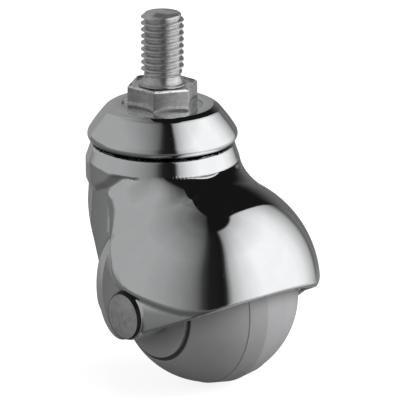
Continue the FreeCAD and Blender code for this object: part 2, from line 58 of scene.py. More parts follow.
class Value:
    """A socket's value in a material, so that sums of values are written as ordinary Python."""

    def __init__(self, finish, socket):
        self.finish = finish
        self.socket = socket

    def maths(self, operation, *others):
        return self.finish.node("ShaderNodeMath", [self, *others], operation=operation)

    def __add__(self, other):
        return self.maths("ADD", other)

    def __sub__(self, other):
        return self.maths("SUBTRACT", other)

    def __rsub__(self, other):
        return self.finish.node("ShaderNodeMath", [other, self], operation="SUBTRACT")

    def __mul__(self, other):
        return self.maths("MULTIPLY", other)

    def __truediv__(self, other):
        return self.maths("DIVIDE", other)

    __radd__ = __add__
    __rmul__ = __mul__

    def step(self, low, high):
        """0 below low, 1 above high, with a soft change between them."""
        return self.finish.node("ShaderNodeMapRange", {
            "Value": self, "From Min": low, "From Max": high,
        }, interpolation_type="SMOOTHSTEP")


class Finish:
    """A material under construction, or the world."""

    def __init__(self, name, owner=None):
        self.owner = owner or bpy.data.materials.new(name)
        self.owner.use_nodes = True
        self.tree = self.owner.node_tree
        self.tree.nodes.clear()

    def node(self, kind, inputs=(), out=0, stops=None, **settings):
        made = self.tree.nodes.new(kind)
        for key, setting in settings.items():
            setattr(made, key, setting)
        if stops:
            ramp = made.color_ramp
            for number, (place, shade) in enumerate(stops):
                stop = ramp.elements[number] if number < 2 else ramp.elements.new(place)
                stop.position = place
                stop.color = (shade, shade, shade, 1) if isinstance(shade, (int, float)) else (*shade, 1)
        pairs = inputs.items() if isinstance(inputs, dict) else enumerate(inputs)
        for key, given in pairs:
            if isinstance(given, Value):
                self.tree.links.new(given.socket, made.inputs[key])
            elif given is not None:
                made.inputs[key].default_value = given
        return Value(self, made.outputs[out])

    def place(self, scale=(1, 1, 1), turn=(0, 0, 0), shift=(0, 0, 0)):
        """Place on the piece, in metres, stretched and turned for a pattern."""
        coordinates = self.node("ShaderNodeTexCoord", out="Object")
        return self.node("ShaderNodeMapping", {
            "Vector": coordinates, "Scale": scale, "Rotation": turn, "Location": shift,
        })

    def height(self):
        """Height on the piece, in metres."""
        return self.node("ShaderNodeSeparateXYZ", [self.place()], out="Z")

    def noise(self, where, scale, detail=3.0, roughness=0.5):
        return self.node("ShaderNodeTexNoise", {
            "Vector": where, "Scale": scale, "Detail": detail, "Roughness": roughness,
        })

    def tint(self, mask, low, high):
        """A colour between two others."""
        low, high = (shade if isinstance(shade, Value) else (*shade, 1) for shade in (low, high))
        return self.node("ShaderNodeMix", {0: mask, 6: low, 7: high}, out=2, data_type="RGBA")

    def ramp(self, mask, start, end, stops):
        """A grey that follows a value between two limits."""
        share = (mask - start) / (end - start)
        stops = [((place - start) / (end - start), shade) for place, shade in stops]
        return self.node("ShaderNodeValToRGB", [share], stops=stops)

    def bump(self, height, strength, distance):
        return self.node("ShaderNodeBump", {"Height": height, "Strength": strength, "Distance": distance})

    def surface(self, **sockets):
        names = {key.replace("_", " ").title(): given for key, given in sockets.items()}
        shader = self.node("ShaderNodeBsdfPrincipled", names)
        self.node_output("ShaderNodeOutputMaterial", shader)
        return self.owner

    def node_output(self, kind, shader):
        output = self.tree.nodes.new(kind)
        self.tree.links.new(shader.socket, output.inputs["Surface"])


def scratches(finish, turn, scale, width):
    """Fine scratches that run along one way on the piece: 1 in a scratch and 0 beside it."""
    lines = finish.noise(finish.place(scale, turn), 1.0, 2.0, 0.6)
    return 1 - (lines - 0.5).maths("ABSOLUTE").step(0.0, width)


def zinc_plate(name, bright, dark, shine):
    """Bright zinc plate on cold-formed steel: cloudy, with fine marks round the axis.

    The hexagon's top is coloured darker than its faces, and the bevel along its edge is painted near white
    in cloudy patches as a highlight. Heights are in metres from the hexagon's top face.
    """
    zinc = Finish(name)
    clouds = zinc.noise(zinc.place(), 900, 4.0, 0.6)
    height = zinc.height()
    bevel = height.step(-0.00054, -0.00047) * (1 - height.step(-0.00006, -0.00002))
    # Painted highlight: the bevel along the hexagon's top edge turns near white in cloudy patches.
    painted_highlight = bevel * clouds.step(0.38, 0.5)
    top = height.step(-0.00005, -0.00001) * (1 - height.step(0.00006, 0.00010))
    rings = zinc.noise(zinc.place((120, 120, 9000)), 1.0, 3.0, 0.6)
    grains = zinc.noise(zinc.place(), 6000, 2.0, 0.6)
    worn = (clouds * 0.55 + rings * 0.45).step(0.36, 0.64)
    plate = zinc.tint(top, zinc.tint(worn, dark, bright), [shade * 0.7 for shade in dark])
    return zinc.surface(
        base_color=zinc.tint(painted_highlight, plate, (0.92, 0.92, 0.92)),
        metallic=0.85,
        roughness=shine + clouds * 0.08 - worn * 0.05,
        normal=zinc.bump(rings * 0.6 + grains * 0.4, 0.16, 0.00004),
    )


def wire(points):
    """An open line of points (radius, height), as the start of a turned shape."""
    bm = bmesh.new()
    made = [bm.verts.new((radius, 0, height)) for radius, height in points]
    for start, end in zip(made, made[1:]):
        bm.edges.new((start, end))
    return bm


def turn_full(bm, segments):
    """Spin a line once round the upright axis and close it."""
    bmesh.ops.spin(
        bm, geom=bm.verts[:] + bm.edges[:], cent=(0, 0, 0), axis=(0, 0, 1),
        angle=2 * math.pi, steps=segments, use_merge=True,
    )
    bmesh.ops.remove_doubles(bm, verts=bm.verts, dist=0.0005)
    bmesh.ops.recalc_face_normals(bm, faces=bm.faces)
    return bm


def turned(points, rounds=None, segments=128):
    """A turned shape from its half section, with given corners rounded."""
    bm = wire(points)
    bm.verts.ensure_lookup_table()
    by_radius = {}
    for corner, radius in (rounds or {}).items():
        by_radius.setdefault(radius, []).append(bm.verts[corner])
    for radius, corners in by_radius.items():
        bmesh.ops.bevel(
            bm, geom=corners, offset=radius, offset_type="WIDTH", segments=8 if radius > 1 else 5,
            profile=0.5, affect="VERTICES", material=-1,
        )
    return turn_full(bm, segments)


def finished(bm, name, body, slot, material, *nodes, sharp=35):
    """Turn a shape into a piece in metres that rides on a body and stands for given solids."""
    bmesh.ops.scale(bm, verts=bm.verts, vec=(MILLIMETRE,) * 3)
    mesh = bpy.data.meshes.new(name)
    bm.to_mesh(mesh)
    bm.free()
    mesh.shade_smooth()
    mesh.set_sharp_from_angle(angle=math.radians(sharp))
    mesh.materials.append(material)
    piece = bpy.data.objects.new(name, mesh)
    bpy.context.scene.collection.objects.link(piece)
    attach(piece, body)
    if nodes:
        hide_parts(*nodes)


def cut_flat(bm, height, above):
    """Take away what is above or below a height, and close the cut."""
    cut = bmesh.ops.bisect_plane(
        bm, geom=bm.verts[:] + bm.edges[:] + bm.faces[:], plane_co=(0, 0, height),
        plane_no=(0, 0, 1), clear_outer=above, clear_inner=not above,
    )
    rim = [item for item in cut["geom_cut"] if isinstance(item, bmesh.types.BMEdge)]
    bmesh.ops.holes_fill(bm, edges=rim)


def thread():
    """The thread as one ridge that winds up the stem, cut off at both ends and chamfered at the point."""
    middle = (THREAD_CREST + THREAD_ROOT) / 2
    ridge = [
        (THREAD_ROOT, 0), (THREAD_ROOT, 0.19), (middle, 0.45), (THREAD_CREST - 0.05, 0.66),
        (THREAD_CREST, 0.75), (THREAD_CREST - 0.05, 0.84), (middle, 1.05), (THREAD_ROOT, 1.31),
        (THREAD_ROOT, THREAD_PITCH),
    ]
    bm = wire([(radius, height - THREAD_PITCH) for radius, height in ridge])
    bmesh.ops.spin(
        bm, geom=bm.verts[:] + bm.edges[:], cent=(0, 0, 0), axis=(0, 0, 1),
        dvec=(0, 0, THREAD_PITCH / TURN_STEPS), angle=2 * math.pi * THREAD_TURNS,
        steps=TURN_STEPS * THREAD_TURNS,
    )
    bmesh.ops.remove_doubles(bm, verts=bm.verts, dist=0.002)
    cut_flat(bm, THREAD_FOOT, above=False)
    cut_flat(bm, STEM_TOP, above=True)
    for vertex in bm.verts:
        radius = math.hypot(vertex.co.x, vertex.co.y)
        run_out = THREAD_ROOT + 0.15 + max(0.0, vertex.co.z - THREAD_FOOT) * 0.55
        chamfer = THREAD_CREST - STEM_POINT + STEM_TOP - vertex.co.z
        limit = min(chamfer, run_out)
        if radius > limit:
            vertex.co.x *= limit / radius
            vertex.co.y *= limit / radius
    bmesh.ops.recalc_face_normals(bm, faces=bm.faces)
    return bm


stem_zinc = zinc_plate("zinc_plate_thread", (0.74, 0.74, 0.74), (0.56, 0.56, 0.56), 0.13)
finished(thread(), "screw_thread", "stem", "zinc_plated_steel", stem_zinc, "threaded_stem", sharp=50)
foot = turned([
    (0, 2.9), (THREAD_ROOT, 2.9), (4.0, 1.9), (4.12, 1.35), (4.36, 0.85), (4.72, 0.42),
    (5.15, 0.14), (5.3, 0.1), (5.36, -0.1), (0, -0.1),
], {7: 0.08})
finished(foot, "stem_foot", "stem", "zinc_plated_steel", stem_zinc)


# Hexagon and flange. The same steel piece: a cold-headed hexagon with a chamfer turned on its top, a flange
# that holds the collar, and the spindle below, riveted over the bottom race.

HEX_FLATS = 14.0
HEX_HEIGHT = 5.4
HEX_TURN = 5.8
HEX_BEVEL = 0.5
HEX_CORNER = HEX_FLATS / 2 / math.cos(math.radians(30))


def hexagon():
    """The hexagon: a prism with a flat bevel along its upper edges."""
    turn = Matrix.Rotation(math.radians(HEX_TURN + 30), 3, "Z")
    bm = bmesh.new()
    bmesh.ops.create_circle(bm, cap_ends=True, segments=6, radius=HEX_CORNER)
    bmesh.ops.rotate(bm, verts=bm.verts, matrix=turn)
    bmesh.ops.translate(bm, verts=bm.verts, vec=(0, 0, -HEX_HEIGHT))
    top = bm.faces[:]
    for step, share in ((HEX_HEIGHT - HEX_BEVEL, 1.0), (HEX_BEVEL, 0.955)):
        made = bmesh.ops.extrude_face_region(bm, geom=top)["geom"]
        raised = [item for item in made if isinstance(item, bmesh.types.BMVert)]
        top = [item for item in made if isinstance(item, bmesh.types.BMFace)]
        bmesh.ops.translate(bm, verts=raised, vec=(0, 0, step))
        bmesh.ops.scale(bm, verts=raised, vec=(share, share, 1))
    bmesh.ops.recalc_face_normals(bm, faces=bm.faces)
    return bm


def plain_object(bm, name):
    """A shape as an object of its own."""
    mesh = bpy.data.meshes.new(name)
    bm.to_mesh(mesh)
    bm.free()
    made = bpy.data.objects.new(name, mesh)
    bpy.context.scene.collection.objects.link(made)
    return made


def settled(item):
    """An object's shape with its modifiers carried out; the object itself goes."""
    evaluated = item.evaluated_get(bpy.context.evaluated_depsgraph_get())
    result = bmesh.new()
    result.from_mesh(evaluated.to_mesh())
    evaluated.to_mesh_clear()
    bpy.data.objects.remove(item)
    return result


def trimmed(bm, tool):
    """The part of one shape that lies inside another."""
    whole = plain_object(bm, "untrimmed")
    cutter = plain_object(tool, "trimmer")
    trim = whole.modifiers.new("trim", "BOOLEAN")
    trim.operation = "INTERSECT"
    trim.solver = "EXACT"
    trim.object = cutter
    result = settled(whole)
    bpy.data.objects.remove(cutter)
    return result


envelope = turned([
    (0, 0), (HEX_CORNER - 0.6, 0), (HEX_CORNER + 0.35, -0.6), (HEX_CORNER + 0.35, -6.5), (0, -6.5),
], {1: 0.15}, segments=180)
nut = trimmed(hexagon(), envelope)
bmesh.ops.remove_doubles(nut, verts=nut.verts, dist=0.001)
upright_edges = [
    edge for edge in nut.edges
    if abs(edge.verts[0].co.z - edge.verts[1].co.z) > 3 and edge.is_manifold
]
bmesh.ops.bevel(
    nut, geom=upright_edges, offset=0.16, offset_type="OFFSET", segments=3, profile=0.5,
    affect="EDGES", material=-1,
)
hex_zinc = zinc_plate("zinc_plate_hexagon", (0.66, 0.66, 0.66), (0.47, 0.47, 0.47), 0.12)
finished(nut, "stem_hexagon", "stem", "zinc_plated_steel", hex_zinc, sharp=18)
flange = turned([(0, -5.38), (9.3, -5.38), (9.5, -5.6), (9.5, -6.9), (0, -6.9)])
finished(flange, "stem_flange", "stem", "zinc_plated_steel", stem_zinc)
spindle = turned([
    (0, -6.9), (5.95, -6.9), (5.95, -24.1), (7.5, -24.1), (7.6, -24.4), (7.3, -25.1), (6.4, -25.4),
    (0, -25.4),
])
finished(spindle, "riveted_spindle", "stem", "zinc_plated_steel", stem_zinc)


# Swivel collar. Pressed steel, chrome plated: a rolled lip round the flange, a bulging cone and a rounded
# shoulder whose rim hangs just above the hood's neck.


def chrome(name, tone, underside):
    """Polished chrome: nearly a mirror, with polishing lines, hairlines and a few dull specks.

    Below a given height in metres the colour is painted dark grey, as shade under the collar's rim.
    """
    plate = Finish(name)
    haze = plate.noise(plate.place(), 260, 3.0, 0.6)
    hairline = scratches(plate, (0.4, 0.9, 0.2), (2600, 90, 2600), 0.012)
    specks = plate.noise(plate.place(), 2600, 1.0, 0.5).step(0.74, 0.80)
    polish = plate.noise(plate.place((60, 60, 5200)), 1.0, 2.0, 0.6)
    # Painted shade: below the underside height the colour turns dark grey.
    painted_rim_shade = 1 - plate.height().step(underside - 0.0002, underside + 0.0002)
    bright = plate.tint(haze.step(0.35, 0.7), [shade * 0.97 for shade in tone], tone)
    return plate.surface(
        base_color=plate.tint(painted_rim_shade, bright, (0.22, 0.22, 0.22)),
        metallic=1.0,
        roughness=0.012 + haze * 0.02 + hairline * 0.05 + specks * 0.2,
        normal=plate.bump(polish, 0.03, 0.00002),
    )


collar = turned([
    (6.0, -8.0), (9.3, -8.0), (15.3, -11.3), (15.3, -12.8), (16.35, -12.8), (16.75, -12.0),
    (16.75, -11.1), (15.05, -8.45), (12.85, -5.7), (11.5, -4.9), (9.0, -4.9), (9.02, -5.34),
    (10.0, -5.36), (10.0, -6.9), (6.0, -6.9), (6.0, -8.0),
], {1: 0.8, 4: 0.15, 5: 0.5, 6: 1.0, 7: 2.4, 8: 0.7, 9: 0.5, 10: 0.25, 11: 0.1}, segments=192)
collar_chrome = chrome("chrome_collar", (0.90, 0.91, 0.92), underside=-0.0125)
finished(collar, "collar_cone", "stem", "chromed_collar", collar_chrome, "swivel_collar", sharp=50)


# Swivel bearing. Two rows of hardened balls carry the hood: the upper row runs between a race under the
# collar and one in the neck, the lower row between a race under the neck's web and one on the spindle.

SPINDLE = 6.0


def bearing_steel(name, tone, shine):
    """Ground steel under a film of dark grease."""
    steel = Finish(name)
    grease = steel.noise(steel.place(), 420, 3.0, 0.6)
    ground = steel.noise(steel.place((300, 300, 14000)), 1.0, 2.0, 0.5)
    return steel.surface(
        base_color=steel.tint(grease.step(0.4, 0.7), [shade * 0.45 for shade in tone], tone),
        metallic=1.0,
        roughness=shine + grease * 0.25 + ground * 0.06,
        normal=steel.bump(ground, 0.1, 0.00003),
    )


def race(name, body, points, groove, node):
    """A turned race with a ball track of given place and size."""
    radius, height, ball = groove
    low = min(z for r, z in points)
    facing = 1 if height > (low + max(z for r, z in points)) / 2 else -1
    flat = max(z for r, z in points) if facing > 0 else low
    reach = math.sqrt(ball ** 2 - (height - flat) ** 2)
    track = []
    for number in range(13):
        across = -reach + 2 * reach * number / 12
        track.append((radius + across, height - facing * math.sqrt(ball ** 2 - across ** 2)))
    if facing > 0:
        track.reverse()
    start = next(index for index, point in enumerate(points) if point[1] == flat)
    bm = turned(points[:start + 1] + track + points[start + 1:] + points[:1])
    finished(bm, name, body, "bearing_steel", race_steel, node, sharp=30)


race_steel = bearing_steel("race_steel", (0.42, 0.42, 0.43), 0.25)
race("race_under_collar", "stem", [
    (SPINDLE, -8.0), (SPINDLE, -10.3), (9.9, -10.3), (9.9, -12.7), (15.0, -12.7), (15.0, -11.3),
    (12.2, -8.0),
], (12.4, -13.5, 2.05), "top_race")
race("race_in_neck", "hood", [
    (9.9, -16.9), (14.9, -16.9), (14.9, -14.3), (9.9, -14.3),
], (12.4, -13.5, 2.05), "hood_upper_race")
race("race_under_web", "hood", [
    (7.0, -19.0), (7.0, -21.1), (11.3, -21.1), (11.3, -19.0),
], (9.1, -21.4, 1.55), "hood_lower_race")
race("race_on_spindle", "stem", [
    (SPINDLE, -24.1), (10.8, -24.1), (10.8, -21.7), (SPINDLE, -21.7),
], (9.1, -21.4, 1.55), "bottom_race")


def ball_row(row, count, pitch, radius, height):
    """One row of balls, spaced evenly round the spindle."""
    bm = bmesh.new()
    for number in range(count):
        angle = 2 * math.pi * number / count
        where = Matrix.Translation((pitch * math.cos(angle), pitch * math.sin(angle), height))
        bmesh.ops.create_uvsphere(bm, u_segments=32, v_segments=20, radius=radius, matrix=where)
    nodes = [f"{row}_ball_{number:02d}" for number in range(1, count + 1)]
    finished(bm, f"{row}_row_of_balls", f"{row}_balls", "ball_steel", ball_steel, *nodes)


ball_steel = bearing_steel("polished_balls", (0.62, 0.62, 0.63), 0.08)
ball_row("upper", 16, 12.4, 2.0, -13.5)
ball_row("lower", 12, 9.1, 1.5, -21.4)


# Hood. One zinc casting, polished and chromed: a neck for the bearing, a dome over half of the ball wheel
# with a slightly raised skin, two legs and a boss for the axle on each. The shape is worked out from the
# wheel's centre, and every edge of the casting is a little rounded by polishing.

TRAIL, DROP = 16.3, 45.3
NECK_TOP, RING, WEB = 31.85, 28.2, 22.9
NECK, NECK_SPREAD, RING_OUTSIDE = 17.2, 2.6, 17.16
DOME, LEG_DOME, DOME_BACK, DOME_RISE = 25.2, 24.6, 0.9, 2.0
BOSS, LEG_OUTSIDE, BOSS_INSIDE = 5.5, 24.1, 17.45
MESH_CELL = 0.37


def arc(start, middle, end, steps=14):
    """Points of the arc through three points, without its start."""
    a, b, c = (complex(*point) for point in (start, middle, end))
    w = (c - a) / (b - a)
    centre = a + (b - a) * (w - abs(w) ** 2) / (w - w.conjugate())
    sweep = cmath.phase((c - centre) / (a - centre))
    turns = [centre + (a - centre) * cmath.exp(1j * sweep * step / steps) for step in range(1, steps + 1)]
    return [(turn.real, turn.imag) for turn in turns]


def swept_line(centre, radius, start, end, steps=14):
    """Points of an arc from its centre, between two angles in degrees."""
    angles = [math.radians(start + (end - start) * step / steps) for step in range(steps + 1)]
    return [(centre[0] + radius * math.cos(a), centre[1] + radius * math.sin(a)) for a in angles]


def lower_edge(ahead):
    """Point of the hood's lower edge at a distance ahead of the axle: straight, then a little upturned."""
    return ahead, -6.345 + (ahead + 2.022) * 0.4621 + (max(ahead - 12, 0) / 14.1) ** 2


SIDE_OUTLINE = [
    (40, 40), *[lower_edge(ahead) for ahead in (40, 28, 26, 24, 22, 20, 18, 16, 14, 12)],
    *swept_line((-5.0, 0.1), 7.1, -65.2, -160), (-16.7, -1.3),
    *arc((-16.7, -1.3), (-20.9, 11.2), (-33.5, WEB)), (-60, WEB), (-60, 40),
]
PANEL_OUTLINE = [
    (-5.9, RING), (40, RING), (40, 0), lower_edge(19.2), (13.7, 3.9), (7.2, 5.3), (0.1, 6.6),
    *arc((0.1, 6.6), (-3.6, 7.6), (-6.2, 10.2)), (-10.8, 14.6), (-14.3, 22.2),
]
BAND_OUTLINE = [(-60, RING), (-13.1, RING), (-16.5, 25.5), (-20.0, 23.9), (-60, WEB)]


def outline_distance(place, corners):
    """Distance to a closed side-view outline, negative inside it."""
    x, z = place[:, 0], place[:, 2]
    nearest = np.full(len(x), np.inf)
    inside = np.zeros(len(x), bool)
    for (x0, z0), (x1, z1) in zip(corners, corners[1:] + corners[:1]):
        way_x, way_z = x1 - x0, z1 - z0
        share = ((x - x0) * way_x + (z - z0) * way_z) / (way_x ** 2 + way_z ** 2)
        share = np.clip(share, 0, 1)
        nearest = np.minimum(nearest, np.hypot(x - x0 - share * way_x, z - z0 - share * way_z))
        if way_z:
            inside ^= ((z0 > z) != (z1 > z)) & (x < x0 + (z - z0) * way_x / way_z)
    return np.where(inside, -nearest, nearest)


def both(first, second, edge=0.0):
    """The part inside two shapes, with the edge between them rounded."""
    corner = np.hypot(np.maximum(first + edge, 0), np.maximum(second + edge, 0))
    return np.minimum(np.maximum(first, second), -edge) + corner


def either(first, second, hollow=0.0):
    """Two shapes joined, with the hollow between them rounded."""
    return -both(-first, -second, hollow)


def ball(place, radius, back, rise):
    return np.linalg.norm(place - (-back, 0, rise), axis=1) - radius


def round_stem(place, radius):
    return np.hypot(place[:, 0] + TRAIL, place[:, 1]) - radius


def round_axle(place, radius):
    return np.hypot(place[:, 0], place[:, 2]) - radius


def gradual(value, low, high):
    """0 below low, 1 above high, with a soft change between them."""
    share = np.clip((value - low) / (high - low), 0, 1)
    return share ** 2 * (3 - 2 * share)


def rolled(first, second, lean, radius):
    """Two shapes joined, with the hollow that a ball of a radius leaves when it rolls between them.

    The lean is the cosine of the angle between the slopes of the two shapes.
    """
    short_first, short_second = radius - first, radius - second
    along_first = (short_first - lean * short_second) / (1 - lean ** 2)
    along_second = (short_second - lean * short_first) / (1 - lean ** 2)
    reach = along_first ** 2 + along_second ** 2 + 2 * along_first * along_second * lean
    hollow = radius - np.sqrt(np.maximum(reach, 0))
    return np.where((along_first > 0) & (along_second > 0), hollow, np.minimum(first, second))


def dome_height(outward, reach):
    """Height of the dome's skin at a distance from the stem's axis, in given directions."""
    spot = outward * reach - (TRAIL - DOME_BACK, 0)
    return DOME_RISE + np.sqrt(np.maximum(DOME ** 2 - (spot ** 2).sum(axis=1), 1))


def directions(way):
    """Ways brought to a length of one."""
    return way / np.maximum(np.linalg.norm(way, axis=1), 1e-6)[:, None]


def neck_and_dome(place):
    """The neck grown out of the dome.

    The neck stands upright at the sides. To the front, where the dome nearly meets the ring, it leans so
    far back that it reaches the dome a little outside the ring.
    """
    outward = directions(place[:, :2] + (TRAIL, 0))
    free = RING - dome_height(outward, NECK)
    drop = RING - dome_height(outward, NECK + NECK_SPREAD)
    tilt = np.arctan2(NECK_SPREAD, drop) * (1 - gradual(free, 2, 5.5))
    neck = round_stem(place, NECK) * np.cos(tilt) + (place[:, 2] - RING) * np.sin(tilt)
    dome = ball(place, DOME, DOME_BACK, DOME_RISE)
    from_dome = directions(place - (-DOME_BACK, 0, DOME_RISE))
    lean = (from_dome[:, :2] * outward).sum(axis=1) * np.cos(tilt) + from_dome[:, 2] * np.sin(tilt)
    radius = 16 - 9.3 * gradual(free, 0.5, 5.3) + 2.3 * gradual(free, 5.5, 9)
    joined = rolled(dome, neck, np.clip(lean, -0.97, 0.97), radius)
    return np.where(round_stem(place, 27) < 0, joined, dome)


def falling_skin(distance):
    """How far the raised skin has fallen at a distance outside its outline, its brink a little rounded."""
    distance = np.clip(distance, -3, 3)
    return 0.24 * (np.hypot(distance, 0.3) + distance - 0.015)


def outer_skin(place):
    """Outside of the neck, the dome with its raised panel, and the legs."""
    height = place[:, 2]
    cove = round_stem(place, 0) - np.interp(height, [14, 25], [17.0, 16.3])
    legs = np.minimum(ball(place, LEG_DOME, DOME_BACK, DOME_RISE), np.maximum(cove, height - RING))
    panel = np.maximum(neck_and_dome(place), height - RING)
    panel = panel + falling_skin(outline_distance(place, PANEL_OUTLINE))
    band = round_stem(place, RING_OUTSIDE) + falling_skin(outline_distance(place, BAND_OUTLINE))
    skin = np.minimum(np.minimum(legs, panel), np.maximum(band, height - RING))
    tapered = round_stem(place, RING_OUTSIDE) + np.maximum(height - RING, 0) * 0.344
    neck_ring = np.maximum(tapered, RING - 0.8 - height)
    return both(either(skin, neck_ring, 0.1), height - NECK_TOP, 0.75)


def bearing_room(place):
    """Room in the neck and its web for the spindle, the races and the balls."""
    height = place[:, 2]
    room = np.minimum.reduce([
        round_stem(place, 7.0),
        np.maximum(round_stem(place, 14.9), 28.4 - height),
        np.maximum(round_stem(place, 11.3), height - 26.3),
    ])
    return np.maximum(room, WEB - 1 - height)


def hood_shape(place):
    """Distance to the casting's surface, negative inside the metal."""
    across = np.abs(place[:, 1])
    hollow_neck = both(round_stem(place, 14.6), place[:, 2] - WEB, 0.8)
    cavity = np.minimum(ball(place, 22.8, 0.5, 1.0), hollow_neck)
    shell = both(outer_skin(place), outline_distance(place, SIDE_OUTLINE), 0.45)
    shell = both(shell, -cavity, 0.35)
    boss = both(round_axle(place, BOSS), np.maximum(BOSS_INSIDE - across, across - LEG_OUTSIDE), 0.2)
    seat = np.maximum(round_axle(place, BOSS), LEG_OUTSIDE - across)
    axle = np.minimum(round_axle(place, 3.0), seat)
    return both(either(shell, boss, 0.4), -np.minimum(bearing_room(place), axle), 0.1)


def on_surface(place):
    """Points moved onto the casting's surface, along its slope."""
    probes = 0.03 * np.array([(1, 1, 1), (1, -1, -1), (-1, 1, -1), (-1, -1, 1)])
    for _ in range(4):
        found = [hood_shape(place + probe) for probe in probes]
        slope = sum(probe * depth[:, None] for probe, depth in zip(probes, found)) / (4 * 0.03 ** 2)
        depth = sum(found) / 4
        step = depth / np.maximum((slope ** 2).sum(axis=1), 0.2)
        place = place - np.clip(step, -0.25, 0.25)[:, None] * slope
    return place


def evened(place, pairs):
    """Points moved half way to the middle of their neighbours, so that the mesh lies evenly."""
    first, second = pairs.T
    size = len(place)
    count = np.bincount(pairs.ravel(), minlength=size)[:, None]
    total = np.stack([
        np.bincount(first, place[second, axis], size) + np.bincount(second, place[first, axis], size)
        for axis in range(3)
    ], axis=1)
    return (place + total / count) / 2


def cast_hood():
    """The casting as one even mesh: the solid's skin is meshed anew and drawn onto the polished shape."""
    rough = bmesh.new()
    rough.from_mesh(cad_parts["hood"].data)
    bmesh.ops.scale(rough, verts=rough.verts, vec=(1 / MILLIMETRE,) * 3)
    bmesh.ops.remove_doubles(rough, verts=rough.verts, dist=0.001)
    whole = plain_object(rough, "rough_casting")
    anew = whole.modifiers.new("even", "REMESH")
    anew.mode = "VOXEL"
    anew.voxel_size = MESH_CELL
    bm = settled(whole)
    centre = np.array((TRAIL, 0, -DROP))
    place = np.array([vertex.co for vertex in bm.verts]) - centre
    pairs = np.array([[vertex.index for vertex in edge.verts] for edge in bm.edges])
    place = on_surface(place)
    for _ in range(3):
        place = on_surface(evened(place, pairs))
    for vertex, found in zip(bm.verts, place + centre):
        vertex.co = found
    bmesh.ops.recalc_face_normals(bm, faces=bm.faces)
    return bm


hood_chrome = chrome("chrome_hood", (0.90, 0.91, 0.92), underside=-0.06)
finished(cast_hood(), "cast_hood", "hood", "chromed_hood", hood_chrome, "hood", sharp=60)


# Axle. A drawn steel pin with a flat head on one leg; the other end is closed over by a cap of the same
# size. Both faces are bare steel, matt from tumbling, with scratches from handling.


def lay_along_axle(bm, mirrored=False):
    """Bring a shape turned about the upright axis to the axle, its top outwards."""
    turn = math.pi / 2 if mirrored else -math.pi / 2
    bmesh.ops.rotate(bm, verts=bm.verts, cent=(0, 0, 0), matrix=Matrix.Rotation(turn, 3, "X"))
    bmesh.ops.translate(bm, verts=bm.verts, vec=(TRAIL, 0, -DROP))


def from_axle(finish):
    """Distance from the axle's middle line, in metres."""
    across = finish.place((1, 0, 1), shift=(-TRAIL * MILLIMETRE, 0, DROP * MILLIMETRE))
    return finish.node("ShaderNodeVectorMath", [across], out="Value", operation="LENGTH")


def tumbled_steel(name, bright, dark):
    """Bare tumbled steel: matt, cloudy and scratched both ways, with painted shade, near black, round the
    head's edge.
    """
    steel = Finish(name)
    # Painted shade: a near-black ring from 4.88 mm out over the head's rim and side, where its edge lies in
    # shadow.
    painted_edge_shade = from_axle(steel).step(0.00488, 0.00506)
    clouds = steel.noise(steel.place(), 700, 4.0, 0.6)
    grains = steel.noise(steel.place(), 5200, 2.0, 0.6)
    scored = scratches(steel, (0.3, 0.5, 0.2), (2400, 160, 2400), 0.02)
    crossed = scratches(steel, (0.2, -0.9, 0.5), (2100, 140, 2100), 0.014)
    marks = (scored + crossed).step(0.0, 1.2)
    worn = clouds.step(0.35, 0.68) * 0.7 + marks * 0.3
    return steel.surface(
        base_color=steel.tint(painted_edge_shade, steel.tint(worn, dark, bright), (0.03, 0.03, 0.03)),
        metallic=0.9,
        roughness=0.42 + clouds * 0.16 - marks * 0.08,
        normal=steel.bump(grains * 0.5 + marks * 0.8, 0.2, 0.00004),
    )


axle_steel = tumbled_steel("tumbled_axle_steel", (0.80, 0.80, 0.80), (0.56, 0.56, 0.56))
axle = turned([
    (0, -24.68), (2.97, -24.68), (2.97, 24.1), (5.2, 24.1), (5.2, 24.95), (0, 25.08),
], {1: 0.25, 4: 0.3})
lay_along_axle(axle, mirrored=True)
finished(axle, "axle_pin", "hood", "axle_steel", axle_steel, "axle", sharp=40)
cap = turned([
    (2.99, 24.1), (5.2, 24.1), (5.2, 24.95), (0, 25.08), (0, 24.7), (2.99, 24.7), (2.99, 24.1),
], {2: 0.3})
lay_along_axle(cap)
finished(cap, "closing_cap", "hood", "axle_steel", axle_steel, "axle_cap", sharp=40)


# Washers and bush. Grey nylon: a washer keeps each leg off the wheel, and the bush is the wheel's bearing.


def moulded(name, bright, dark, shine, grain, groove=(0.1, 0.11)):
    """Moulded plastic with a fine leathery grain and slightly uneven gloss.

    Dirt sits in a groove round the axle, between two radii in metres. A groove out of reach stays clean.
    """
    plastic = Finish(name)
    radius = from_axle(plastic)
    inner, outer = groove
    dirt = radius.step(inner, inner + 0.0002) * (1 - radius.step(outer, outer + 0.0002))
    clouds = plastic.noise(plastic.place(), 170, 3.0, 0.6)
    leather = plastic.noise(plastic.place(), 2600, 3.0, 0.6)
    rub = scratches(plastic, (0.5, 0.2, 0.9), (1800, 120, 1800), 0.010)
    clean = plastic.tint(clouds * 0.6 + leather * 0.3 + rub * 0.12, dark, bright)
    return plastic.surface(
        base_color=plastic.tint(dirt, clean, (0.05, 0.05, 0.05)),
        metallic=0.0,
        roughness=shine + clouds * 0.08 + leather * 0.10 - rub * 0.06,
        normal=plastic.bump(leather, grain, 0.00005),
    )


